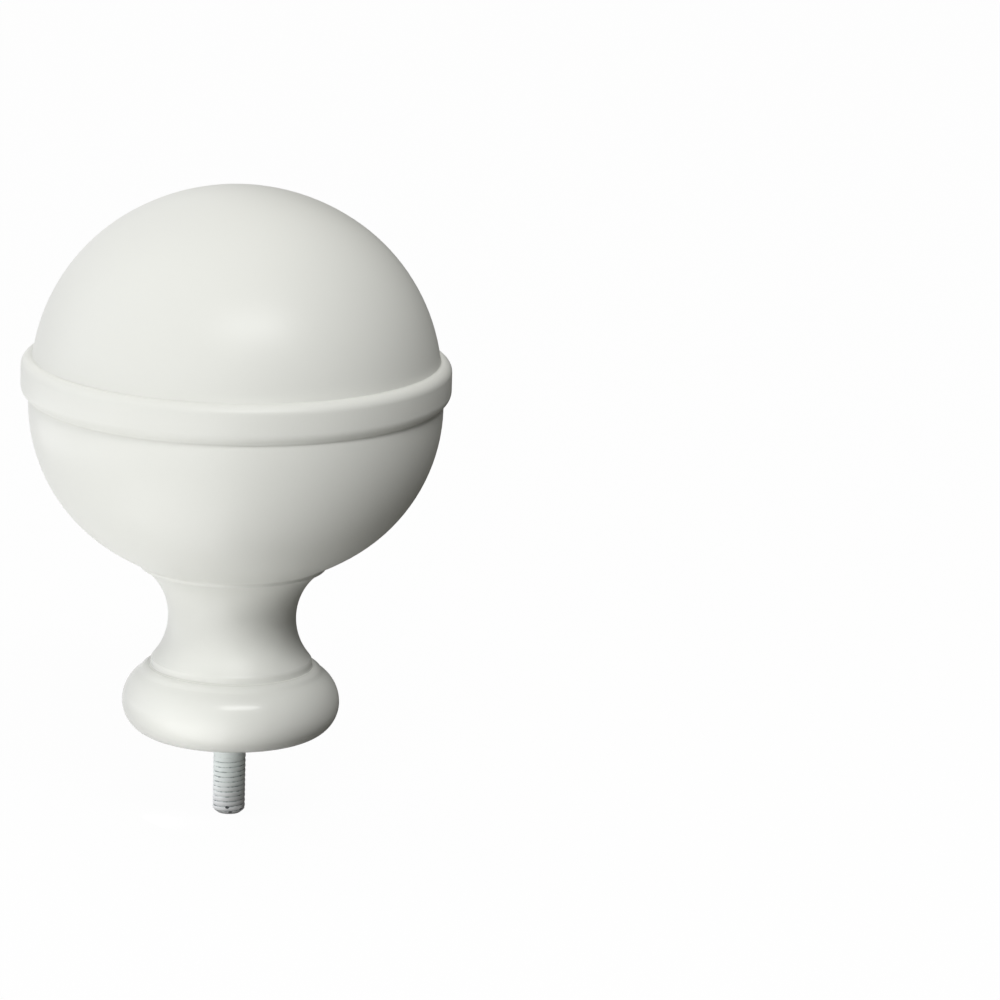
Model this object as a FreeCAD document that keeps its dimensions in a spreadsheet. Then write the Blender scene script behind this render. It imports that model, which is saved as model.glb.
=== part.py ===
import FreeCAD, Part
import Sketcher
import math
import os
from types import SimpleNamespace

# A curtain pole finial: a turned wooden ball on a waisted neck and a round foot, with a
# steel stud let into the foot that screws into the end of the pole.
# Origin: centre of the flat seat that meets the pole. +Z runs up the axis to the crown of
# the ball, and the stud points to -Z. Lengths are in millimetres, sweeps in degrees.

SIZES = {
    # Foot: a round roll on the flat seat, with a small bead on its shoulder
    "seat_radius": 18.8,
    "foot_lower_radius": 7.9,
    "foot_upper_radius": 9.1,
    "foot_upper_sweep": 54.0,
    "shoulder_hollow_radius": 3.0,
    "shoulder_hollow_sweep": 21.0,
    "shoulder_bead_radius": 2.2,
    # Neck: a deep cove between two rounded lips
    "neck_radius": 15.7,
    "neck_height": 29.3,
    "cove_radius": 15.6,
    "cove_lower_sweep": 41.0,
    "cove_upper_sweep": 52.0,
    "cove_top_radius": 4.8,
    "lower_lip_radius": 1.2,
    "upper_lip_radius": 0.8,
    # Ball: a bowl and a dome, each a little flatter than a sphere
    "bowl_radius": 50.6,
    "bowl_height": 83.0,
    "bowl_side_radius": 42.0,
    "bowl_side_sweep": 56.0,
    "dome_setback": 0.5,
    "dome_lift": 5.2,
    "dome_side_radius": 47.2,
    "dome_side_sweep": 55.0,
    # Band: the raised ring round the ball
    "band_stand_out": 1.9,
    "band_lift": 4.4,
    "band_side_height": 4.5,
    "band_lower_edge_radius": 3.1,
    "band_lower_edge_sweep": 60.0,
    "band_upper_edge_radius": 2.45,
    "band_root_depth": 7.0,
    # Stud: a thinner plain shank in the wood, as a rolled thread leaves it
    "thread_radius": 4.0,
    "stud_projection": 20.5,
    "thread_end_gap": 0.4,
    "shank_relief": 0.4,
    "shank_length": 24.0,
    "stud_chamfer": 1.2,
    # Hole: drilled up from the seat for the shank, with a countersunk mouth
    "glue_clearance": 0.05,
    "hole_spare_depth": 0.5,
    "drill_point_angle": 118.0,
    "mouth_clearance": 0.4,
    "mouth_angle": 90.0,
}

# The sketcher's own numbers: its first axis at its start is the origin
ORIGIN = (-1, 1)


class Size:
    """A length or sweep, with the formula that gives it from the sheet.

    One without a formula is only a starting value, and the rules of the outline settle it.
    """

    def __init__(self, value, formula=None):
        self.value = value
        self.formula = formula

    def __add__(self, other):
        return Size(self.value + other.value, f"{self.formula} + {other.formula}")

    def __sub__(self, other):
        return Size(self.value - other.value, f"{self.formula} - {other.formula}")


s = SimpleNamespace(**{name: Size(value, f"sizes.{name}") for name, value in SIZES.items()})
QUARTER_TURN = Size(90.0, "90 deg")


def write_sheet(doc):
    sheet = doc.addObject("Spreadsheet::Sheet", "sizes")
    for row, (alias, value) in enumerate(SIZES.items(), start=1):
        sheet.set(f"A{row}", alias)
        sheet.set(f"B{row}", str(value))
        sheet.setAlias(f"B{row}", alias)
    doc.recompute()


def new_body(doc, name):
    body = doc.addObject("PartDesign::Body", name)
    body.Label = name
    return body


def new_sketch(body, name, role):
    sketch = body.newObject("Sketcher::SketchObject", name)
    plane = next(feature for feature in body.Origin.OriginFeatures if feature.Role == role)
    sketch.AttachmentSupport = (plane, [""])
    sketch.MapMode = "FlatFace"
    return sketch


def add_circle(sketch, radius):
    """A circle round the axis."""
    circle = Part.Circle(FreeCAD.Vector(0, 0, 0), FreeCAD.Vector(0, 0, 1), radius.value)
    number = sketch.addGeometry(circle)
    sketch.addConstraint(Sketcher.Constraint("Coincident", number, 3, *ORIGIN))
    rule = sketch.addConstraint(Sketcher.Constraint("Radius", number, radius.value))
    sketch.setExpression(f"Constraints[{rule}]", radius.formula)


class Outline:
    """Half of a turned section, drawn run by run and anticlockwise.

    Each run starts where the one before it ends. Starting places are worked out from the
    sizes, and the rules then hold them.
    """

    def __init__(self, body, name, height, radius=0.0):
        self.body = body
        self.sketch = new_sketch(body, name, "XZ_Plane")
        self.place = FreeCAD.Vector(radius, height, 0)
        self.heading = 0.0
        self.runs = []

    def rule(self, kind, *terms):
        return self.sketch.addConstraint(Sketcher.Constraint(kind, *terms))

    def set_size(self, kind, terms, size):
        if size.formula is None:
            return
        value = math.radians(size.value) if kind == "Angle" else size.value
        number = self.rule(kind, *terms, value)
        self.sketch.setExpression(f"Constraints[{number}]", size.formula)

    def set_radius(self, point, size):
        """How far a point is from the axis."""
        self.set_size("DistanceX", (*ORIGIN, *point), size)

    def set_height(self, point, size):
        """How far a point is above the seat."""
        self.set_size("DistanceY", (*ORIGIN, *point), size)

    def put_on_axis(self, point):
        """Holds a point on the turning axis, which is the sketch's upright axis, number -2."""
        self.rule("PointOnObject", *point, -2)

    def add_run(self, geometry, ends, joint):
        number = self.sketch.addGeometry(geometry)
        start, end = ends
        run = SimpleNamespace(number=number, start=(number, start), end=(number, end), centre=(number, 3))
        if self.runs:
            self.rule(joint, *self.runs[-1].end, *run.start)
        self.runs.append(run)
        return run

    def line(self, radius, height, direction=None, joint="Coincident"):
        """A straight run to a place in the section, held level or plumb where that is named."""
        end = FreeCAD.Vector(radius, height, 0)
        step = end - self.place
        run = self.add_run(Part.LineSegment(self.place, end), (1, 2), joint)
        if direction:
            self.rule(direction, run.number)
        self.heading = math.degrees(math.atan2(step.y, step.x))
        self.place = end
        return run

    def arc(self, radius, sweep, hollow=False, joint="Tangent"):
        """A round run that swells out, or a hollow one."""
        side = -1 if hollow else 1
        to_centre = math.radians(self.heading + 90 * side)
        start_angle = to_centre + math.pi
        end_angle = start_angle + math.radians(sweep.value * side)
        reach = radius.value
        centre = self.place + FreeCAD.Vector(math.cos(to_centre), math.sin(to_centre), 0) * reach
        circle = Part.Circle(centre, FreeCAD.Vector(0, 0, 1), reach)
        ends = (2, 1) if hollow else (1, 2)
        run = self.add_run(Part.ArcOfCircle(circle, *sorted((start_angle, end_angle))), ends, joint)
        self.set_size("Radius", (run.number,), radius)
        self.set_size("Angle", (run.number,), sweep)
        self.place = centre + FreeCAD.Vector(math.cos(end_angle), math.sin(end_angle), 0) * reach
        self.heading += sweep.value * side
        return run

    def close(self):
        """The last straight run, back to the first."""
        first = self.runs[0]
        start = self.sketch.getPoint(*first.start)
        last = self.line(start.x, start.y)
        self.rule("Coincident", *last.end, *first.start)
        return last

    def revolve(self, name):
        solid = self.body.newObject("PartDesign::Revolution", name)
        solid.Profile = self.sketch
        solid.ReferenceAxis = (self.sketch, ["V_Axis"])
        solid.Angle = 360.0
        return solid


def add_foot(body):
    """The round roll on the seat, which steps in to the neck over a small bead."""
    outline = Outline(body, "foot_outline", height=0)
    seat = outline.line(s.seat_radius.value, 0, "Horizontal")
    outline.rule("Coincident", *seat.start, *ORIGIN)
    outline.set_radius(seat.end, s.seat_radius)
    outline.arc(s.foot_lower_radius, QUARTER_TURN)
    outline.arc(s.foot_upper_radius, s.foot_upper_sweep)
    outline.arc(s.shoulder_hollow_radius, s.shoulder_hollow_sweep, hollow=True)
    outline.arc(s.shoulder_bead_radius, Size(180 - outline.heading))
    top = outline.line(0, outline.place.y, "Horizontal", joint="Tangent")
    outline.put_on_axis(top.end)
    outline.close()
    return outline.revolve("foot")


def add_neck(body):
    """The cove, which flares down to a lip on the foot and up to a lip under the ball."""
    lip_and_cove = s.lower_lip_radius.value + s.cove_radius.value
    sweep = math.radians(s.cove_lower_sweep.value)
    collar_radius = s.neck_radius.value + lip_and_cove * (1 - math.cos(sweep))
    collar_top = s.neck_height.value - lip_and_cove * math.sin(sweep)
    outline = Outline(body, "neck_outline", height=s.foot_lower_radius.value)
    root = outline.line(collar_radius, s.foot_lower_radius.value, "Horizontal")
    outline.put_on_axis(root.start)
    outline.set_height(root.start, s.foot_lower_radius)
    outline.line(collar_radius, collar_top, "Vertical")
    outline.arc(s.lower_lip_radius, s.cove_lower_sweep)
    throat = outline.arc(s.cove_radius, s.cove_lower_sweep + s.cove_upper_sweep, hollow=True)
    outline.set_radius(throat.centre, s.neck_radius + s.cove_radius)
    outline.set_height(throat.centre, s.neck_height)
    outline.arc(s.cove_top_radius, Size(outline.heading), hollow=True)
    outline.arc(s.upper_lip_radius, QUARTER_TURN)
    collar = outline.line(outline.place.x, s.bowl_height.value, "Vertical", joint="Tangent")
    outline.set_height(collar.end, s.bowl_height)
    top = outline.line(0, s.bowl_height.value, "Horizontal")
    outline.put_on_axis(top.end)
    outline.close()
    return outline.revolve("neck")


def pole_arc_radius(equator_radius, side_radius, side_sweep):
    """Radius of the arc that carries a side arc on to the axis and crosses it squarely."""
    return side_radius.value + (equator_radius.value - side_radius.value) / math.cos(
        math.radians(side_sweep.value)
    )


def add_ball(body):
    """The bowl and the dome, each a side arc with a flatter arc over the pole of the ball."""
    dome_radius = s.bowl_radius - s.dome_setback
    dome_height = s.bowl_height + s.dome_lift
    bottom_radius = pole_arc_radius(s.bowl_radius, s.bowl_side_radius, s.bowl_side_sweep)
    crown_radius = pole_arc_radius(dome_radius, s.dome_side_radius, s.dome_side_sweep)
    rise = (bottom_radius - s.bowl_side_radius.value) * math.sin(math.radians(s.bowl_side_sweep.value))
    outline = Outline(body, "ball_outline", height=s.bowl_height.value + rise - bottom_radius)
    bottom = outline.arc(Size(bottom_radius), Size(90 - s.bowl_side_sweep.value))
    outline.put_on_axis(bottom.start)
    outline.put_on_axis(bottom.centre)
    outline.arc(s.bowl_side_radius, s.bowl_side_sweep)
    side = outline.line(s.bowl_radius.value, dome_height.value, "Vertical", joint="Tangent")
    outline.set_radius(side.end, s.bowl_radius)
    outline.set_height(side.start, s.bowl_height)
    outline.set_height(side.end, dome_height)
    step = outline.line(dome_radius.value, dome_height.value, "Horizontal")
    outline.set_radius(step.end, dome_radius)
    outline.heading = 90.0
    flank = outline.arc(s.dome_side_radius, s.dome_side_sweep, joint="Coincident")
    outline.rule("Horizontal", *flank.centre, *flank.start)
    crown = outline.arc(Size(crown_radius), Size(90 - s.dome_side_sweep.value))
    outline.put_on_axis(crown.centre)
    outline.put_on_axis(crown.end)
    outline.close()
    return outline.revolve("ball")


def add_band(body):
    """The ring round the ball, undercut below and rounded at both edges."""
    root_radius = s.bowl_radius - s.band_root_depth
    side_radius = s.bowl_radius + s.band_stand_out
    side_bottom = s.bowl_height + s.band_lift
    side_top = side_bottom + s.band_side_height
    sweep = math.radians(s.band_lower_edge_sweep.value)
    edge = s.band_lower_edge_radius.value
    edge_start = side_radius.value - edge * (1 - math.cos(sweep))
    edge_height = side_bottom.value - edge * math.sin(sweep)
    root_height = edge_height - (edge_start - root_radius.value) / math.tan(sweep)
    outline = Outline(body, "band_outline", height=root_height, radius=root_radius.value)
    outline.line(edge_start, edge_height)
    outline.arc(s.band_lower_edge_radius, s.band_lower_edge_sweep)
    side = outline.line(side_radius.value, side_top.value, "Vertical", joint="Tangent")
    outline.set_radius(side.end, side_radius)
    outline.set_height(side.start, side_bottom)
    outline.set_height(side.end, side_top)
    outline.arc(s.band_upper_edge_radius, QUARTER_TURN)
    top = outline.line(root_radius.value, outline.place.y, joint="Tangent")
    outline.set_radius(top.end, root_radius)
    root = outline.close()
    outline.rule("Vertical", root.number)
    return outline.revolve("band")


def stud_hole_volume(radius, mouth_radius, depth):
    """How much wood the hole takes away: a cylinder, its drilled point and its mouth."""
    point = radius / math.tan(math.radians(s.drill_point_angle.value / 2))
    mouth = (mouth_radius - radius) / math.tan(math.radians(s.mouth_angle.value / 2))
    cone = mouth / 3 * (mouth_radius**2 + mouth_radius * radius + radius**2)
    return math.pi * (radius**2 * (depth + point / 3 - mouth) + cone)


def add_stud_hole(body):
    """A blind hole up from the seat, with a drilled point and a countersunk mouth."""
    radius = s.thread_radius - s.shank_relief + s.glue_clearance
    mouth_radius = s.thread_radius + s.mouth_clearance
    depth = s.shank_length + s.hole_spare_depth
    sketch = new_sketch(body, "stud_hole_circle", "XY_Plane")
    add_circle(sketch, radius)
    body.Document.recompute()
    volume_before = body.Shape.Volume
    hole = body.newObject("PartDesign::Hole", "stud_hole")
    hole.Profile = sketch
    hole.ThreadType = "None"
    hole.HoleCutType = "Countersink"
    hole.DepthType = "Dimension"
    hole.DrillPoint = "Angled"
    hole.Reversed = True
    hole.setExpression("Diameter", f"2 * ({radius.formula})")
    hole.setExpression("HoleCutDiameter", f"2 * ({mouth_radius.formula})")
    hole.setExpression("HoleCutCountersinkAngle", s.mouth_angle.formula)
    hole.setExpression("Depth", depth.formula)
    hole.setExpression("DrillPointAngle", s.drill_point_angle.formula)
    body.Document.recompute()
    removed = volume_before - body.Shape.Volume
    expected = stud_hole_volume(radius.value, mouth_radius.value, depth.value)
    if abs(removed - expected) > expected / 1000:
        raise ValueError(f"the stud hole takes away {removed:.1f} mm3 and should take {expected:.1f} mm3")
    return hole


def make_finial_body(doc):
    """The turned wood, in one piece from the seat to the crown."""
    body = new_body(doc, "finial_body")
    add_foot(body)
    add_neck(body)
    add_ball(body)
    add_band(body)
    add_stud_hole(body)
    return body


def add_rod(body, name, radius, start, length):
    """A round length of the stud, from a height below the seat upwards."""
    sketch = new_sketch(body, f"{name}_circle", "XY_Plane")
    sketch.setExpression("AttachmentOffset.Base.z", f"-({start.formula})")
    add_circle(sketch, radius)
    rod = body.newObject("PartDesign::Pad", name)
    rod.Profile = sketch
    rod.setExpression("Length", length.formula)
    return rod


def make_threaded_stud(doc):
    """The steel stud: its threaded end screws into the pole, and its shank fills the hole."""
    body = new_body(doc, "threaded_stud")
    shank_radius = s.thread_radius - s.shank_relief
    add_rod(body, "threaded_end", s.thread_radius, s.stud_projection, s.stud_projection - s.thread_end_gap)
    shank = add_rod(body, "shank", shank_radius, s.thread_end_gap, s.shank_length + s.thread_end_gap)
    doc.recompute()
    heights = (-s.stud_projection.value, s.shank_length.value)
    rims = [
        f"Edge{number}"
        for number, edge in enumerate(shank.Shape.Edges, start=1)
        if isinstance(edge.Curve, Part.Circle)
        and min(abs(edge.Curve.Center.z - height) for height in heights) < s.stud_chamfer.value / 2
    ]
    if len(rims) != len(heights):
        raise ValueError(f"the stud has {len(rims)} end rims and should have {len(heights)}")
    chamfer = body.newObject("PartDesign::Chamfer", "end_chamfers")
    chamfer.Base = (shank, rims)
    chamfer.setExpression("Size", "sizes.stud_chamfer")
    return body


def check_document(doc):
    for thing in doc.Objects:
        if "Invalid" in thing.State or "Error" in thing.State:
            raise ValueError(f"{thing.Name} has a fault: {thing.State}")
        if thing.isDerivedFrom("Sketcher::SketchObject") and not thing.FullyConstrained:
            raise ValueError(f"{thing.Name} is not fully held by its rules")


def check_body(body):
    shape = body.Shape
    if shape.isNull() or not shape.isValid():
        raise ValueError(f"{body.Label} has no valid shape")
    if len(shape.Solids) != 1:
        raise ValueError(f"{body.Label} has {len(shape.Solids)} solids and should have 1")


def main():
    doc = FreeCAD.newDocument("curtain_pole_finial")
    write_sheet(doc)
    bodies = [make_finial_body(doc), make_threaded_stud(doc)]
    doc.recompute()
    check_document(doc)
    os.makedirs("parts", exist_ok=True)
    for body in bodies:
        check_body(body)
        body.Shape.exportStep(f"parts/{body.Label}.step")


main()
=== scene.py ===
import math

import bpy
import numpy as np
from bpy.props import FloatProperty, FloatVectorProperty, IntProperty, PointerProperty
from mathutils import Matrix, Vector


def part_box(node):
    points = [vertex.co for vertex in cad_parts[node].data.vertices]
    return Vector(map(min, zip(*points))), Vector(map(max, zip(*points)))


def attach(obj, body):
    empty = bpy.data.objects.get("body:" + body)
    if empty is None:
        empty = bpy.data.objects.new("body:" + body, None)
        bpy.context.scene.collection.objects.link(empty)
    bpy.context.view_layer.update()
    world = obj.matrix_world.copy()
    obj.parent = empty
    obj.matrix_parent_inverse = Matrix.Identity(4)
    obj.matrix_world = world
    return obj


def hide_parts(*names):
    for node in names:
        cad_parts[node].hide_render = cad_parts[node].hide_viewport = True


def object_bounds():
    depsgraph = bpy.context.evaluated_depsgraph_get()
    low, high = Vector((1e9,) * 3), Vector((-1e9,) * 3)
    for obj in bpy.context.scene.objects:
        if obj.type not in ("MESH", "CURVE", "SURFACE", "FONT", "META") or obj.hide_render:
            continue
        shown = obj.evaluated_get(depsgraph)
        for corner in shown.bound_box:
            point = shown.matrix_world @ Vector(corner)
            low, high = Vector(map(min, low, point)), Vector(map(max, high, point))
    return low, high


bl_info = {
    "name": "Curtain pole finial",
    "version": (1, 0, 0),
    "blender": (4, 5, 0),
    "location": "View3D > Sidebar > Finial",
    "description": "Turns and lacquers a ball finial, threads its stud and sets up the studio",
    "category": "Object",
}

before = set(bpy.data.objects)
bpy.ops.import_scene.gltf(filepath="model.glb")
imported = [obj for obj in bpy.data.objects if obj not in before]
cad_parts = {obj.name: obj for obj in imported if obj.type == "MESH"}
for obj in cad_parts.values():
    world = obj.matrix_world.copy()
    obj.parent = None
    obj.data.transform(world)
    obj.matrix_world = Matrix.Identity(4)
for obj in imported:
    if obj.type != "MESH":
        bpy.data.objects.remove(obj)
CAD_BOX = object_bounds()

MM = 0.001
QUARTER_TURN = math.pi / 2
BODY = "root"

# Turned outlines: steps along an arc, and how far apart the kept points may be
STEPS_PER_RADIAN = 120
FEWEST_STEPS = 8
PROFILE_STEP = 0.05 * MM
LONGEST_STEP = 2.2 * MM
SHARPEST_STEP = math.radians(3.5)
NO_RADIUS = 1e-9

# Painted shade in the creases and painted highlight on the edges: their width in film thicknesses,
# and how much pooling fades the painted shade
MARK_WIDTH = 1.5
POOL_FADE = 0.55

# Waves in which lacquer runs together: strength, count round the piece, climb a millimetre, start
POOL_WAVES = (
    (1.0, 2, 0.11, 0.9),
    (0.8, 5, -0.23, 0.0),
    (0.6, 11, 0.31, 2.0),
    (0.4, 23, -0.5, 0.0),
)

# Thread: rings to a pitch, width of its roots, and the share of the filled length that is full
RINGS_PER_PITCH = 16
ROOT_WIDTH = 0.55
FULL_SHARE = 0.7

# Shape of the stud's tip, where 1 is a plain chamfer and more is rounder
TIP_ROUNDNESS = 1.4

# Chips near the stud's tip: place in millimetres, width and height
CHIPS = (
    ((-0.41, -3.95, -18.5), 0.50, 0.34),
    ((0.36, -3.50, -19.8), 0.50, 0.30),
    ((2.9, -2.3, -19.2), 0.55, 0.30),
    ((3.6, 1.5, -17.6), 0.30, 0.50),
    ((-2.2, 3.2, -18.8), 0.45, 0.28),
)

# Gloss of the lacquer, on wood and on steel
LACQUER_IOR = 1.48
LACQUER_SPECULAR = 0.3

# Broad soft lights: azimuth and height in degrees, focus, strength and colour
SOFT_LIGHTS = (
    (-115, 3, 10, 2.7, (1.0, 1.005, 1.07)),
    (-30, 3, 10, 2.6, (0.995, 1.0, 1.0)),
    (180, 55, 8, 0.80, (1.0, 0.98, 0.93)),
    (0, 90, 8, 1.3, (1.0, 0.99, 0.97)),
)

# Light that the floor throws up: azimuth in degrees, distance and side in metres, and watts
FLOOR_LIGHTS = (
    (-35, 0.11, 0.12, 0.080),
    (-110, 0.38, 0.25, 0.38),
    (-70, 0.38, 0.25, 0.44),
    (-20, 0.38, 0.25, 0.52),
)
FLOOR_LIGHT_LIFT = 1.5 * MM

# Strip lamp above the camera: azimuth and height in degrees, distance, width and depth in metres
KEY_LAMP = (13, 47, 1.3, 0.80, 0.25)
KEY_TARGET = Vector((0, 0, 0.07))

# Small card beside the stud: azimuth in degrees, distance, height and side in metres
STUD_CARD = (-60, 0.022, -0.015, 0.010)

# Half the floor's side, and how soft the edge of the dark flag is on the floor and in the world
FLOOR_REACH = 3.0
FLOOR_FLAG_EDGE = 0.04
WORLD_FLAG_EDGE = 0.2

WHITE = (1.0, 1.0, 1.0)
SHADOWED_FLOOR = (0.9, 0.9, 0.9)
SENSOR_SIDE = 36.0


# Settings

def number(name, default, description, **options):
    return FloatProperty(name=name, default=default, description=description, **options)


def length(name, millimetres, description):
    return number(name, millimetres * MM, description, unit="LENGTH", precision=5)


def sweep(name, degrees, description):
    return number(name, math.radians(degrees), description, subtype="ANGLE")


def share(name, default, description):
    return number(name, default, description, min=0, max=1, subtype="FACTOR")


def power(name, watts, description):
    return number(name, watts, description, min=0, unit="POWER", precision=4)


def colour(name, red, green, blue, description):
    return FloatVectorProperty(
        name=name, default=(red, green, blue), size=3, min=0, max=1, subtype="COLOR",
        description=description,
    )


class FootSettings(bpy.types.PropertyGroup):
    """The round roll on the seat, and the bead on its shoulder"""

    seat_radius: length("Seat radius", 18.8, "Radius of the flat that meets the pole")
    lower_radius: length("Lower roll", 7.9, "Radius of the roll's lower quarter")
    upper_radius: length("Upper roll", 9.1, "Radius of the roll above its widest line")
    upper_sweep: sweep("Upper sweep", 54, "How far the upper roll turns in")
    hollow_radius: length("Hollow", 3.0, "Radius of the hollow under the bead")
    hollow_sweep: sweep("Hollow sweep", 21, "How far the hollow turns out")
    bead_radius: length("Bead", 2.2, "Radius of the bead on the shoulder")


class NeckSettings(bpy.types.PropertyGroup):
    """The deep cove between the foot and the ball"""

    radius: length("Neck radius", 15.7, "Radius of the neck where it is thinnest")
    height: length("Neck height", 29.3, "Height of that place above the seat")
    cove_radius: length("Cove", 15.6, "Radius of the cove's throat")
    lower_sweep: sweep("Lower sweep", 41, "How far the cove flares below the neck")
    upper_sweep: sweep("Upper sweep", 53.7, "How far the cove flares above the neck")
    top_radius: length("Cove top", 1.2, "Radius of the tight hollow at the top of the cove")
    lower_lip: length("Lower lip", 1.2, "Radius of the lip over the foot")
    upper_lip: length("Upper lip", 0.25, "Radius of the lip under the ball")


class BallSettings(bpy.types.PropertyGroup):
    """The bowl, the dome and the band between them"""

    radius: length("Bowl radius", 50.6, "Radius of the bowl at its widest")
    height: length("Bowl height", 83.0, "Height of the bowl's widest line above the seat")
    bowl_side: length("Bowl side", 42.0, "Radius of the arc up the bowl's side")
    bowl_sweep: sweep("Bowl sweep", 56, "How far the bowl's side arc turns")
    dome_setback: length("Dome setback", 0.5, "How much narrower the dome is than the bowl")
    dome_lift: length("Dome lift", 5.2, "Height of the dome's widest line above the bowl's")
    dome_side: length("Dome side", 47.2, "Radius of the arc up the dome's side")
    dome_sweep: sweep("Dome sweep", 55, "How far the dome's side arc turns")
    band_stand_out: length("Band", 1.9, "How far the band stands out from the bowl")
    band_lift: length("Band lift", 4.4, "Height of the band's side above the bowl's widest line")
    band_side: length("Band side", 4.5, "Height of the band's upright side")
    band_lower_edge: length("Lower edge", 3.1, "Radius of the band's lower edge")
    band_lower_sweep: sweep("Lower edge sweep", 60, "How far the lower edge turns in")
    band_upper_edge: length("Upper edge", 2.45, "Radius of the band's upper edge")


class LacquerSettings(bpy.types.PropertyGroup):
    """The sprayed lacquer on the wood"""

    paint: colour("Lacquer", 0.80, 0.808, 0.765, "Colour of the lacquer")
    # The crease colour is mostly painted shade in the creases, with a little dust there too
    crease: colour("In creases", 0.75, 0.755, 0.71, "Colour where the lacquer gathers in creases")
    roughness: share("Roughness", 0.36, "Roughness of the satin film on the ball")
    foot_roughness: share("Foot roughness", 0.22, "Roughness of the glossier film on the foot")
    gloss_top: length("Gloss top", 17.5, "Height above the seat up to which the foot is glossier")
    satin_bottom: length("Satin bottom", 21.0, "Height from which the film is as on the ball")
    film: length("Film", 0.25, "How far the film rounds the creases and edges")
    pool: length("Pooling", 0.07, "How much lacquer runs together in the creases")
    drift: length("Drift", 30.0, "Size of the slow changes of tone")
    smear: length("Smears", 12.0, "Size of the patches that shine a little more or less")
    peel: length("Orange peel", 1.3, "Distance between the ripples of the sprayed film")
    peel_depth: length("Peel depth", 0.012, "Depth of those ripples and of the sanding")
    sanding: length("Sanding", 0.6, "Distance between the rings that sanding leaves")
    grain: length("Grain", 0.9, "Distance between the lines of the grain that show through")
    grain_depth: length("Grain depth", 0.014, "Depth of the grain's lines")
    swell: length("Swell", 14.0, "Distance between the slow waves of the film")
    swell_depth: length("Swell depth", 0.06, "Depth of the slow waves")
    nib: length("Nibs", 9.0, "Distance between the specks of dust under the film")
    nib_height: length("Nib height", 0.008, "Height of the specks")
    segments: IntProperty(name="Segments", default=256, min=32, description="Steps round the wood")


class StudSettings(bpy.types.PropertyGroup):
    """The threaded steel stud"""

    pitch: length("Pitch", 1.25, "Distance between the threads")
    depth: length("Depth", 0.46, "Depth of the grooves under the overspray")
    chamfer: length("Chamfer", 1.2, "Size of the chamfer at the tip")
    thread_start: length("Thread start", 0.54, "How far the thread is turned along its helix")
    filled: length("Filled thread", 6.9, "Length next to the seat where lacquer fills the thread")
    thread_gap: length("Thread gap", 0.4, "Distance between the seat and the first thread")
    shank_radius: length("Shank radius", 3.6, "Radius of the plain shank in the wood")
    hole_radius: length("Hole radius", 3.65, "Radius of the hole in the wood")
    hole_depth: length("Hole depth", 24.5, "Depth of the hole to the start of its point")
    mouth_radius: length("Hole mouth", 4.4, "Radius of the hole's countersunk mouth")
    point_angle: sweep("Drill point", 118, "Angle of the point that the drill leaves")
    overspray: colour("Overspray", 0.87, 0.925, 0.91, "Colour of the thin lacquer on the steel")
    # Painted light: the stud turns lighter and whiter towards its tip, standing in for light thrown
    # up from the floor
    tip_painted_light: colour("Tip", 0.93, 0.94, 0.95, "Colour at the tip, where the lacquer is thickest")
    tip_painted_light_start: length("Tip coat start", -9.0, "Height at which the thicker coat begins")
    tip_painted_light_full: length("Tip coat full", -18.0, "Height from which it is at its thickest")
    # These two colours darken the thread's roots: partly a thinner coat and bare roots, partly
    # painted shade
    thin_coat: colour("Thin overspray", 0.62, 0.67, 0.67, "Colour where the lacquer is thin")
    missed_and_root_shade: colour("Missed grooves", 0.24, 0.27, 0.28, "Colour of a root that the spray missed")
    steel: colour("Steel", 0.07, 0.075, 0.08, "Colour of the steel in the chips")
    roughness: share("Roughness", 0.40, "Roughness of the dry overspray")
    cloud: length("Clouds", 3.5, "Size of the broad changes in the coat's thickness")
    patch: length("Patches", 1.1, "Size of the patches where the coat is thin")
    dust: length("Dust", 0.3, "Size of the grains of dry spray")
    dust_depth: length("Dust depth", 0.025, "Height of those grains")
    segments: IntProperty(name="Segments", default=96, min=16, description="Steps round the stud")


class StudioSettings(bpy.types.PropertyGroup):
    """The floor, the lights and the camera"""

    floor: colour("Floor", 0.155, 0.152, 0.140, "Colour of the pale floor as it lights the object")
    floor_white: share("White of the floor", 0.97, "How much of it the camera sees as plain white")
    key: power("Key light", 8.0, "Power of the strip lamp above the camera")
    card: power("Card", 0.0010, "Power of the light from the small card beside the stud")
    floor_lights: number("Floor light", 1.0, "Strength of the light from the floor", min=0)
    soft_lights: number("Soft lights", 1.0, "Strength of the broad soft lights", min=0)
    camera_distance: length("Camera distance", 1898.49, "How far the camera is from the axis")
    camera_height: length("Camera height", 529.66, "Height of the camera above the seat")
    camera_turn: sweep("Camera turn", 1.960, "How far the camera looks to the right of the axis")
    camera_dip: sweep("Camera dip", 13.894, "How far the camera looks down")
    camera_roll: sweep("Camera roll", 1.514, "How far the camera leans")
    focal_length: number("Focal length", 288.0, "Focal length of the lens", unit="CAMERA")


# Shader maths

class Wire:
    """A node's output that takes part in Python expressions."""

    def __init__(self, nodes, socket):
        self.nodes = nodes
        self.socket = socket

    def __add__(self, other):
        return self.nodes.math("ADD", self, other)

    def __sub__(self, other):
        return self.nodes.math("SUBTRACT", self, other)

    def __mul__(self, other):
        return self.nodes.math("MULTIPLY", self, other)

    def __pow__(self, other):
        return self.nodes.math("POWER", self, other)

    def __rsub__(self, other):
        return self.nodes.math("SUBTRACT", other, self)

    def __rpow__(self, other):
        return self.nodes.math("POWER", other, self)

    __radd__ = __add__
    __rmul__ = __mul__

    def clamped(self):
        return self.nodes.math("ADD", self, 0.0, clamp=True)

    def ramp(self, low, high, to_low=0.0, to_high=1.0):
        """A smooth step from one value to another."""
        return self.nodes.add(
            "ShaderNodeMapRange",
            {"interpolation_type": "SMOOTHSTEP"},
            {
                "Value": self,
                "From Min": low,
                "From Max": high,
                "To Min": to_low,
                "To Max": to_high,
            },
        )


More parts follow.
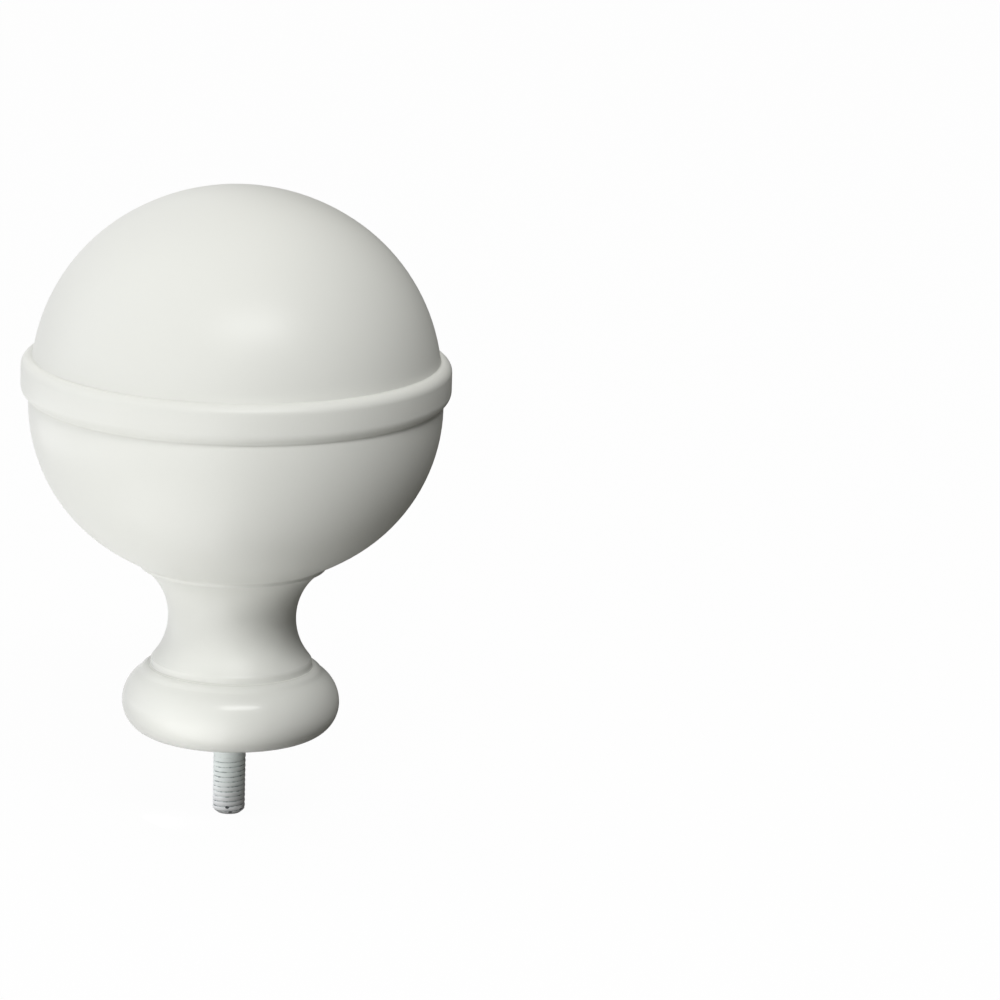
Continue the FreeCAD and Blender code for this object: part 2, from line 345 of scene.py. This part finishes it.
class Nodes:
    """A fresh node tree, and the one way in which nodes are added to it."""

    def __init__(self, tree):
        self.tree = tree
        tree.nodes.clear()

    def add(self, kind, settings=None, inputs=None, output=0):
        node = self.tree.nodes.new(kind)
        for name, value in (settings or {}).items():
            setattr(node, name, value)
        for name, value in (inputs or {}).items():
            if isinstance(value, Wire):
                self.tree.links.new(value.socket, node.inputs[name])
            else:
                node.inputs[name].default_value = value
        return Wire(self, node.outputs[output]) if len(node.outputs) else node

    def math(self, operation, *values, clamp=False):
        settings = {"operation": operation, "use_clamp": clamp}
        return self.add("ShaderNodeMath", settings, dict(enumerate(values)))

    def coordinates(self, kind):
        return self.add("ShaderNodeTexCoord", output=kind)

    def along(self, axis, coordinates):
        """How far a place or a direction goes along one axis."""
        return self.add("ShaderNodeSeparateXYZ", None, {0: coordinates}, output=axis)

    def spread(self, size, stretch=(1.0, 1.0, 1.0)):
        """The place on the object, counted in steps of a size in metres."""
        factors = tuple(factor / size for factor in stretch)
        return self.add(
            "ShaderNodeVectorMath",
            {"operation": "MULTIPLY"},
            {0: self.coordinates("Object"), 1: factors},
        )

    def noise(self, size, detail=2.0, roughness=0.5, stretch=(1.0, 1.0, 1.0)):
        """Noise whose features are about as large as the size, in metres."""
        return self.add("ShaderNodeTexNoise", None, {
            "Vector": self.spread(size, stretch),
            "Scale": 1.0,
            "Detail": detail,
            "Roughness": roughness,
        })

    def specks(self, spacing, reach):
        """Small round specks, from 0 to 1, whose reach is a share of their spacing."""
        distance = self.add(
            "ShaderNodeTexVoronoi",
            {"feature": "F1"},
            {"Vector": self.spread(spacing), "Scale": 1.0},
            output="Distance",
        )
        return distance.ramp(reach, 0.0)

    def mix(self, factor, first, second):
        """A colour between two others."""
        return self.add(
            "ShaderNodeMix",
            {"data_type": "RGBA"},
            {"Factor": factor, 6: rgba(first), 7: rgba(second)},
            output=2,
        )

    def attribute(self, name):
        return self.add("ShaderNodeAttribute", {"attribute_name": name}, output="Fac")

    def bump(self, *layers):
        """The normal of a surface with layers of relief, each a height and its depth in metres."""
        normal = {}
        for height, depth in layers:
            sockets = {"Height": height, "Distance": depth, **normal}
            normal = {"Normal": self.add("ShaderNodeBump", None, sockets)}
        return normal["Normal"]


def rgba(value):
    return value if isinstance(value, Wire) else (*value, 1.0)


def new_material(name):
    material = bpy.data.materials.new(name)
    material.use_nodes = True
    return material, Nodes(material.node_tree)


def finish_material(nodes, shader):
    nodes.add("ShaderNodeOutputMaterial", None, {"Surface": shader})


def finish_lacquered(nodes, sockets):
    """A material's surface, with the gloss that the lacquer has on wood and on steel."""
    finish_material(nodes, nodes.add("ShaderNodeBsdfPrincipled", None, {
        "IOR": LACQUER_IOR,
        "Specular IOR Level": LACQUER_SPECULAR,
        **sockets,
    }))


# Turned outlines

def walk(radius, height, heading, runs):
    """Points along tangent arcs, each given by its radius and its sweep.

    A hollow arc has a sweep below zero. Heading 0 points away from the axis, and a quarter
    turn points up.
    """
    place = complex(radius, height)
    points = [place]
    for reach, turn in runs:
        to_centre = math.copysign(1, turn) * reach * 1j * np.exp(1j * heading)
        steps = max(FEWEST_STEPS, int(abs(turn) * STEPS_PER_RADIAN))
        angles = np.linspace(0, turn, steps)[1:]
        points.extend(place + to_centre - to_centre * np.exp(1j * angles))
        place = points[-1]
        heading += turn
    return np.array([(point.real, point.imag) for point in points])


def axis_arc_radius(widest, side, side_sweep):
    """Radius of the arc that carries a side arc on to the axis and crosses it squarely."""
    return side + (widest - side) / math.cos(side_sweep)


def foot_outline(foot):
    return walk(foot.seat_radius, 0, 0, [
        (foot.lower_radius, QUARTER_TURN),
        (foot.upper_radius, foot.upper_sweep),
        (foot.hollow_radius, -foot.hollow_sweep),
        (foot.bead_radius, QUARTER_TURN - foot.upper_sweep + foot.hollow_sweep),
    ])


def neck_outline(neck):
    lip_and_cove = neck.lower_lip + neck.cove_radius
    collar_radius = neck.radius + lip_and_cove * (1 - math.cos(neck.lower_sweep))
    collar_top = neck.height - lip_and_cove * math.sin(neck.lower_sweep)
    flare = walk(collar_radius, collar_top, QUARTER_TURN, [
        (neck.lower_lip, neck.lower_sweep),
        (neck.cove_radius, -neck.lower_sweep - neck.upper_sweep),
        (neck.top_radius, neck.upper_sweep - QUARTER_TURN),
        (neck.upper_lip, QUARTER_TURN),
    ])
    start = (collar_radius, collar_top - neck.cove_radius)
    end = (flare[-1, 0], flare[-1, 1] + neck.cove_radius)
    return np.vstack([start, flare, end])


def ball_outline(ball):
    dome_radius = ball.radius - ball.dome_setback
    bottom_radius = axis_arc_radius(ball.radius, ball.bowl_side, ball.bowl_sweep)
    crown_radius = axis_arc_radius(dome_radius, ball.dome_side, ball.dome_sweep)
    side_drop = (bottom_radius - ball.bowl_side) * math.sin(ball.bowl_sweep)
    bowl = walk(0, ball.height + side_drop - bottom_radius, 0, [
        (bottom_radius, QUARTER_TURN - ball.bowl_sweep),
        (ball.bowl_side, ball.bowl_sweep),
    ])
    dome = walk(dome_radius, ball.height + ball.dome_lift, QUARTER_TURN, [
        (ball.dome_side, ball.dome_sweep),
        (crown_radius, QUARTER_TURN - ball.dome_sweep),
    ])
    return np.vstack([bowl, dome])


def band_outline(ball):
    start = QUARTER_TURN - ball.band_lower_sweep
    side = ball.radius + ball.band_stand_out
    edge_start = side - ball.band_lower_edge * (1 - math.cos(ball.band_lower_sweep))
    side_bottom = ball.height + ball.band_lift
    edge_height = side_bottom - ball.band_lower_edge * math.sin(ball.band_lower_sweep)
    lower = walk(edge_start, edge_height, start, [(ball.band_lower_edge, ball.band_lower_sweep)])
    upper = walk(side, side_bottom + ball.band_side, QUARTER_TURN, [
        (ball.band_upper_edge, QUARTER_TURN),
    ])
    run_in = edge_start / 10
    root = (edge_start - run_in, edge_height - run_in * math.tan(start))
    return np.vstack([root, lower, upper])


def hole_outline(stud):
    """The blind hole from its drilled point down to its mouth in the seat."""
    radius, mouth = stud.hole_radius, stud.mouth_radius
    flare = mouth - radius
    point = stud.hole_depth + radius / math.tan(stud.point_angle / 2)
    return np.array([
        (0, point), (radius, stud.hole_depth), (radius, 3 * flare), (radius, flare), (mouth, 0),
    ])


def radius_at(outline, heights):
    """Radius of an outline at each height, and nothing above or below it."""
    return np.interp(heights, outline[:, 1], outline[:, 0], left=0.0, right=0.0)


def spaced(points, step):
    """The same line with its points an even step apart."""
    lengths = np.linalg.norm(np.diff(points, axis=0), axis=1)
    travel = np.concatenate([[0], np.cumsum(lengths)])
    marks = np.linspace(0, travel[-1], int(travel[-1] / step) + 1)
    return np.column_stack([np.interp(marks, travel, points[:, axis]) for axis in (0, 1)])


def softened(points, step, width):
    """The line as a film of lacquer leaves it, with its creases and corners rounded."""
    reach = int(4 * width / step)
    offsets = np.arange(-reach, reach + 1) * step
    weights = np.exp(-0.5 * (offsets / width) ** 2)
    weights /= weights.sum()
    before = 2 * points[0] - points[reach:0:-1]
    after = 2 * points[-1] - points[-2:-reach - 2:-1]
    longer = np.vstack([before, points, after])
    return np.column_stack([np.convolve(longer[:, axis], weights, "valid") for axis in (0, 1)])


def bend(points, step):
    """How fast the line turns at each point, in radians a metre: hollows are below zero."""
    direction = np.unwrap(np.angle(np.gradient(points[:, 0]) + 1j * np.gradient(points[:, 1])))
    return np.gradient(direction) / step


def marked(bends, gain, start):
    """How strongly a mark shows, from 0 to 1, where the line turns this fast."""
    return np.clip(bends * gain * MM - start, 0, 1)


def thinned(points, turning):
    """Which points to keep, so that no step is too long or turns too far."""
    keep = [0]
    travelled = turned = 0.0
    for index in range(1, len(points)):
        travelled += np.linalg.norm(points[index] - points[index - 1])
        turned += turning[index]
        if travelled >= LONGEST_STEP or turned >= SHARPEST_STEP:
            keep.append(index)
            travelled = turned = 0.0
    if keep[-1] != len(points) - 1:
        keep.append(len(points) - 1)
    return keep


# Meshes

def around(segments):
    return np.linspace(0, 2 * math.pi, segments, endpoint=False)


def on_rings(radii, heights, angles):
    """The place of each point, for a row of radii on each ring."""
    height = np.broadcast_to(heights[:, None], radii.shape)
    return np.stack([radii * np.cos(angles), radii * np.sin(angles), height], axis=-1)


def lathe(name, radii, heights, angles, attributes):
    """A mesh of rings round the Z axis, closed to a point where a ring has no radius.

    The radii and the attributes have a row for each ring and a column for each angle.
    """
    segments = len(angles)
    vertices, starts, values = [], [], {key: [] for key in attributes}
    for index, ring in enumerate(on_rings(radii, heights, angles)):
        count = 1 if radii[index, 0] < NO_RADIUS else segments
        starts.append(len(vertices))
        vertices.extend(ring[:count])
        for key, numbers in attributes.items():
            values[key].extend(numbers[index, :count])
    starts.append(len(vertices))
    faces = []
    for lower, upper, end in zip(starts, starts[1:], starts[2:]):
        lower_one, upper_one = upper - lower == 1, end - upper == 1
        for step in range(segments):
            after = (step + 1) % segments
            corners = [lower] if lower_one else [lower + step, lower + after]
            corners += [upper] if upper_one else [upper + after, upper + step]
            faces.append(corners)
    return new_mesh(name, vertices, faces, values)


def new_mesh(name, vertices, faces, attributes):
    mesh = bpy.data.meshes.new(name)
    mesh.from_pydata([tuple(map(float, vertex)) for vertex in vertices], [], faces)
    for key, values in attributes.items():
        layer = mesh.attributes.new(key, "FLOAT", "POINT")
        layer.data.foreach_set("value", np.array(values, dtype=np.float32))
    mesh.shade_smooth()
    mesh.validate()
    piece = bpy.data.objects.new(name, mesh)
    bpy.context.collection.objects.link(piece)
    return piece


# The turned and lacquered wood

def lacquer_material(look):
    """A satin film, rippled by spraying over a trace of the grain, with painted shade in creases
    and a painted highlight on edges.
    """
    material, nodes = new_material("white satin lacquer")
    crease = nodes.attribute("crease")
    edge = nodes.attribute("edge")
    drift = nodes.noise(look.drift, detail=3.0)
    smear = nodes.noise(look.smear, detail=4.0, roughness=0.6)
    peel = nodes.noise(look.peel, detail=1.5)
    sanding = nodes.noise(look.sanding, detail=1.0, stretch=(0.03, 0.03, 1.0))
    grain = nodes.noise(look.grain, detail=3.0, roughness=0.62, stretch=(1.0, 1.0, 0.045))
    swell = nodes.noise(look.swell, detail=1.0)
    nibs = nodes.specks(look.nib, 0.06)

    # Painted shade: the creases darken towards the crease colour, with slow changes of tone
    crease_shade = (crease * 0.8 + (drift - 0.5) * 0.18).clamped()
    tint = nodes.mix(crease_shade, look.paint, look.crease)
    # Painted highlight: the convex edges are a little lighter than the lacquer
    edge_highlight = tuple(min(1.0, part * 1.03) for part in look.paint)
    tint = nodes.mix((edge * 0.5).clamped(), tint, edge_highlight)

    height = nodes.along("Z", nodes.coordinates("Object"))
    satin = height.ramp(look.gloss_top, look.satin_bottom, look.foot_roughness, look.roughness)
    finish_lacquered(nodes, {
        "Base Color": tint,
        "Roughness": satin + (smear - 0.5) * 0.10 + crease * 0.14 - edge * 0.03,
        "Normal": nodes.bump(
            (peel + sanding * 0.10, look.peel_depth),
            (grain, look.grain_depth),
            (swell, look.swell_depth),
            (nibs, look.nib_height),
        ),
    })
    return material


def pooling(angles, heights):
    """How much lacquer has run together in the creases, from 0 to 1, round each ring."""
    height = heights[:, None] / MM
    wave = sum(
        strength * np.sin(count * angles + climb * height + start)
        for strength, count, climb, start in POOL_WAVES
    )
    return np.clip(0.5 + 0.25 * wave, 0, 1)


class FINIAL_OT_turn_wood(bpy.types.Operator):
    """Turn the foot, neck, ball and band in one piece of wood, and lacquer it"""

    bl_idname = "finial.turn_wood"
    bl_label = "Turned wood"

    def execute(self, context):
        scene = context.scene
        look = scene.finial_lacquer
        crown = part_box("finial_body")[1][2]
        heights = np.arange(0, crown, PROFILE_STEP / 2)
        outlines = (
            foot_outline(scene.finial_foot),
            neck_outline(scene.finial_neck),
            ball_outline(scene.finial_ball),
            band_outline(scene.finial_ball),
        )
        radii = np.max([radius_at(outline, heights) for outline in outlines], axis=0)
        drilled_point, wall = np.split(hole_outline(scene.finial_stud), [2])
        line = np.vstack([wall, np.column_stack([radii, heights]), [(0.0, crown)]])
        sharp = spaced(line, PROFILE_STEP)
        film = softened(sharp, PROFILE_STEP, look.film)
        keep = thinned(film, np.abs(bend(film, PROFILE_STEP)) * PROFILE_STEP)
        rings = np.vstack([drilled_point, film[keep]])
        rings[-1, 0] = 0.0

        # Painted shade in the creases and a painted highlight on the convex edges, by how fast the
        # outline turns
        broad = bend(softened(sharp, PROFILE_STEP, look.film * MARK_WIDTH), PROFILE_STEP)
        crease = np.append([0, 0], marked(-broad, gain=1.1, start=0.2)[keep])
        edge = np.append([0, 0], marked(broad, gain=0.9, start=0.25)[keep])
        angles = around(look.segments)
        pooled = pooling(angles, rings[:, 1])
        outside = rings[:, 1] > 0
        radii = rings[:, :1] + pooled * (crease * outside * look.pool)[:, None]
        piece = lathe("lacquered_wood", radii, rings[:, 1], angles, {
            # The crease attribute carries the painted shade, fainter where lacquer has pooled
            "crease": crease[:, None] * (1 - POOL_FADE * pooled),
            "edge": np.repeat(edge[:, None], look.segments, axis=1),
        })
        piece.data.materials.append(lacquer_material(look))
        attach(piece, BODY)
        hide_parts("finial_body")
        return {"FINISHED"}


# The stud

def overspray_material(look):
    """Zinc-plated steel under a thinly sprayed overspray, thinnest in the grooves, whose roots are
    darkened too as painted shade.
    """
    material, nodes = new_material("oversprayed steel")
    groove = nodes.attribute("groove")
    chip = nodes.attribute("chip")
    cloud = nodes.noise(look.cloud)
    patch = nodes.noise(look.patch, detail=3.0, roughness=0.6)
    dust = nodes.noise(look.dust)

    # Painted shade in the roots: the grooves darken towards these colours, along with patches of
    # thinner coat
    thin_and_root_shade = (groove * 1.1 + (patch - 0.5) * 0.9 + (cloud - 0.5) * 0.5).ramp(0.28, 0.90)
    missed_and_root_shade = (groove + (patch - 0.5) * 1.5 + (cloud - 0.5) * 1.2).ramp(0.66, 0.96)
    flake = (chip + (patch - 0.5) * 0.7).ramp(0.45, 0.60)
    height = nodes.along("Z", nodes.coordinates("Object"))
    # Painted light from below: lighter towards the tip
    at_tip = height.ramp(look.tip_painted_light_full, look.tip_painted_light_start, 1.0, 0.0)
    tint = nodes.mix(at_tip, look.overspray, look.tip_painted_light)
    for mask, below in ((thin_and_root_shade, look.thin_coat), (missed_and_root_shade, look.missed_and_root_shade), (flake, look.steel)):
        tint = nodes.mix(mask, tint, below)
    finish_lacquered(nodes, {
        "Base Color": tint,
        "Roughness": look.roughness + dust * 0.14 + thin_and_root_shade * 0.05 - flake * 0.10,
        "Metallic": flake * 0.6,
        "Normal": nodes.bump((dust * 0.6 + patch * 0.4, look.dust_depth)),
    })
    return material


def thread_radius(height, angle, bottom, outer, look):
    """Radius of the painted thread at each height and angle, and how deep its groove is there.

    The lacquer rounds the crests and keeps the roots narrow, and next to the seat it fills them.
    Its thickness wanders, and the grooves' depth with it.
    """
    turn = np.mod((height + look.thread_start) / look.pitch - angle / (2 * math.pi), 1.0)
    groove = 1 - np.sin(math.pi * turn) ** ROOT_WIDTH
    fill = np.clip((-height / look.filled - FULL_SHARE) / (1 - FULL_SHARE), 0, 1)
    fill = fill * fill * (3 - 2 * fill)
    wander = np.sin(angle * 2 + height / MM * 0.7) * np.sin(height / MM * 1.9 + 1.0)
    depth = look.depth * groove * fill * (0.75 + 0.25 * wander)
    from_tip = np.clip((height - bottom) / look.chamfer, 0, 1)
    tip = outer - look.chamfer * (1 - from_tip) ** TIP_ROUNDNESS
    return np.minimum(outer - depth, tip), groove * fill


def chip_strength(places):
    """How bare the steel is round each small chip near the tip."""
    strength = np.zeros(places.shape[:2])
    for centre, width, height in CHIPS:
        apart = (places / MM - np.array(centre)) / (width, width, height)
        strength = np.maximum(strength, np.clip(1.5 - np.linalg.norm(apart, axis=-1), 0, 1))
    return strength


class FINIAL_OT_cut_stud(bpy.types.Operator):
    """Cut the thread on the stud's free end, rounded by overspray, above its plain shank"""

    bl_idname = "finial.cut_stud"
    bl_label = "Threaded stud"

    def execute(self, context):
        look = context.scene.finial_stud
        low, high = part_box("threaded_stud")
        outer, bottom, top = high[0], low[2], high[2]
        last_thread = -look.thread_gap
        angles = around(look.segments)
        heights = np.arange(bottom, last_thread, look.pitch / RINGS_PER_PITCH)
        heights = np.append(heights, last_thread)
        radii, groove = thread_radius(heights[:, None], angles, bottom, outer, look)

        point = np.array([(0, bottom)])
        shank = np.array([
            (look.shank_radius, last_thread),
            (look.shank_radius, top - look.chamfer),
            (look.shank_radius - look.chamfer, top),
            (0, top),
        ])
        plain = [np.repeat(part[:, :1], look.segments, axis=1) for part in (point, shank)]
        radii = np.vstack([plain[0], radii, plain[1]])
        heights = np.concatenate([point[:, 1], heights, shank[:, 1]])
        piece = lathe("oversprayed_stud", radii, heights, angles, {
            "groove": np.pad(groove, ((len(point), len(shank)), (0, 0))),
            "chip": chip_strength(on_rings(radii, heights, angles)),
        })
        piece.data.materials.append(overspray_material(look))
        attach(piece, BODY)
        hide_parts("threaded_stud")
        return {"FINISHED"}


# The studio

def seen_directly(nodes, space, flag_edge):
    """1 for the camera and for what glass or a glossy surface shows.

    A dark flag on the right keeps white out of the reflections there.
    """
    camera, mirror, glass = (
        nodes.add("ShaderNodeLightPath", output=f"Is {ray} Ray")
        for ray in ("Camera", "Glossy", "Transmission")
    )
    across = nodes.along("X", nodes.coordinates(space))
    clear = across.ramp(-flag_edge, flag_edge, 1.0, 0.0)
    return (camera + mirror * clear + glass).clamped()


def floor_material(look):
    """A pale floor, which the camera sees as nearly white, with the object's shadow on it."""
    material, nodes = new_material("pale floor")
    pale = nodes.add("ShaderNodeBsdfDiffuse", None, {"Color": rgba(look.floor)})
    shadowed = nodes.add("ShaderNodeBsdfDiffuse", None, {"Color": rgba(SHADOWED_FLOOR)})
    white = nodes.add("ShaderNodeEmission", None, {"Color": rgba(WHITE), "Strength": 1.0})
    seen = nodes.add("ShaderNodeMixShader", None, {0: look.floor_white, 1: shadowed, 2: white})
    direct = seen_directly(nodes, "Object", FLOOR_FLAG_EDGE)
    finish_material(nodes, nodes.add("ShaderNodeMixShader", None, {0: direct, 1: pale, 2: seen}))
    return material


def add_floor(look):
    height = CAD_BOX[0][2]
    signs = ((-1, -1), (1, -1), (1, 1), (-1, 1))
    corners = [(x * FLOOR_REACH, y * FLOOR_REACH, height) for x, y in signs]
    floor = new_mesh("pale_floor", corners, [(0, 1, 2, 3)], {})
    floor.data.materials.append(floor_material(look))


def towards(azimuth, height):
    """The direction of an azimuth, 0 at the camera and -90 on its left, and of a height."""
    turn, lift = math.radians(azimuth), math.radians(height)
    level = math.cos(lift)
    return Vector((math.sin(turn) * level, -math.cos(turn) * level, math.sin(lift)))


def add_lamp(name, place, target, width, depth, watts):
    lamp = bpy.data.lights.new(name, "AREA")
    lamp.shape = "RECTANGLE"
    lamp.size = width
    lamp.size_y = depth
    lamp.energy = watts
    holder = bpy.data.objects.new(name, lamp)
    holder.location = place
    holder.rotation_euler = (target - place).to_track_quat("-Z", "Y").to_euler()
    holder.visible_camera = False
    bpy.context.collection.objects.link(holder)


def add_lamps(look):
    azimuth, height, reach, width, depth = KEY_LAMP
    place = KEY_TARGET + reach * towards(azimuth, height)
    add_lamp("key", place, KEY_TARGET, width, depth, look.key)

    azimuth, reach, height, side = STUD_CARD
    level = Vector((0, 0, height))
    add_lamp("stud card", level + reach * towards(azimuth, 0), level, side, side, look.card)

    level = Vector((0, 0, CAD_BOX[0][2] + FLOOR_LIGHT_LIFT))
    for azimuth, reach, side, watts in FLOOR_LIGHTS:
        place = level + reach * towards(azimuth, 0)
        above = place + Vector((0, 0, 1))
        add_lamp("floor light", place, above, side, side, watts * look.floor_lights)


def light_surroundings(look):
    """A studio of broad soft lights, with white where it is seen directly."""
    world = bpy.data.worlds.new("studio")
    bpy.context.scene.world = world
    world.use_nodes = True
    nodes = Nodes(world.node_tree)

    def background(tint, strength):
        return nodes.add("ShaderNodeBackground", None, {"Color": rgba(tint), "Strength": strength})

    direction = nodes.coordinates("Generated")
    glow = background(WHITE, 0.0)
    for azimuth, height, focus, strength, tint in SOFT_LIGHTS:
        facing = nodes.add(
            "ShaderNodeVectorMath",
            {"operation": "DOT_PRODUCT"},
            {0: direction, 1: towards(azimuth, height)},
            output="Value",
        )
        lobe = nodes.math("MAXIMUM", facing, 0.0) ** focus * (strength * look.soft_lights)
        glow = nodes.add("ShaderNodeAddShader", None, {0: glow, 1: background(tint, lobe)})
    direct = seen_directly(nodes, "Generated", WORLD_FLAG_EDGE)
    shader = nodes.add("ShaderNodeMixShader", None, {0: direct, 1: glow, 2: background(WHITE, 1.0)})
    nodes.add("ShaderNodeOutputWorld", None, {"Surface": shader})


def add_camera(look):
    camera = bpy.data.cameras.new("camera")
    camera.lens = look.focal_length
    camera.sensor_width = SENSOR_SIDE
    holder = bpy.data.objects.new("camera", camera)
    turn, dip, roll = look.camera_turn, look.camera_dip, look.camera_roll
    level = Vector((math.cos(turn), -math.sin(turn), 0))
    forward = Vector((math.sin(turn), math.cos(turn), -math.tan(dip))).normalized()
    upright = level.cross(forward)
    right = math.cos(roll) * level + math.sin(roll) * upright
    up = math.cos(roll) * upright - math.sin(roll) * level
    facing = Matrix((right, up, -forward)).transposed().to_4x4()
    place = (0, -look.camera_distance, look.camera_height)
    holder.matrix_world = Matrix.Translation(place) @ facing
    bpy.context.collection.objects.link(holder)
    bpy.context.scene.camera = holder


class FINIAL_OT_set_stage(bpy.types.Operator):
    """Lay the floor, light it and place the camera"""

    bl_idname = "finial.set_stage"
    bl_label = "Stage"

    def execute(self, context):
        look = context.scene.finial_studio
        add_floor(look)
        light_surroundings(look)
        add_lamps(look)
        add_camera(look)
        context.scene.view_settings.view_transform = "Standard"
        return {"FINISHED"}


# Panel and start

class FINIAL_PT_panel(bpy.types.Panel):
    """The steps that make the finial, and their settings"""

    bl_idname = "FINIAL_PT_panel"
    bl_label = "Curtain pole finial"
    bl_space_type = "VIEW_3D"
    bl_region_type = "UI"
    bl_category = "Finial"

    def draw(self, context):
        for operator_class, groups in STEPS:
            box = self.layout.box()
            box.operator(operator_class.bl_idname)
            for group in groups:
                settings = getattr(context.scene, group)
                for name in settings.bl_rna.properties.keys():
                    if name not in ("rna_type", "name"):
                        box.prop(settings, name)


SETTINGS = {
    "finial_foot": FootSettings,
    "finial_neck": NeckSettings,
    "finial_ball": BallSettings,
    "finial_lacquer": LacquerSettings,
    "finial_stud": StudSettings,
    "finial_studio": StudioSettings,
}
STEPS = (
    (FINIAL_OT_turn_wood, ("finial_foot", "finial_neck", "finial_ball", "finial_lacquer")),
    (FINIAL_OT_cut_stud, ("finial_stud",)),
    (FINIAL_OT_set_stage, ("finial_studio",)),
)


def register():
    for group in SETTINGS.values():
        bpy.utils.register_class(group)
    for operator_class, _ in STEPS:
        bpy.utils.register_class(operator_class)
    bpy.utils.register_class(FINIAL_PT_panel)
    for name, group in SETTINGS.items():
        setattr(bpy.types.Scene, name, PointerProperty(type=group))


def unregister():
    for name in SETTINGS:
        delattr(bpy.types.Scene, name)
    bpy.utils.unregister_class(FINIAL_PT_panel)
    for operator_class, _ in STEPS:
        bpy.utils.unregister_class(operator_class)
    for group in SETTINGS.values():
        bpy.utils.unregister_class(group)


def main():
    register()
    bpy.ops.finial.turn_wood()
    bpy.ops.finial.cut_stud()
    bpy.ops.finial.set_stage()


if __name__ == "__main__":
    main()
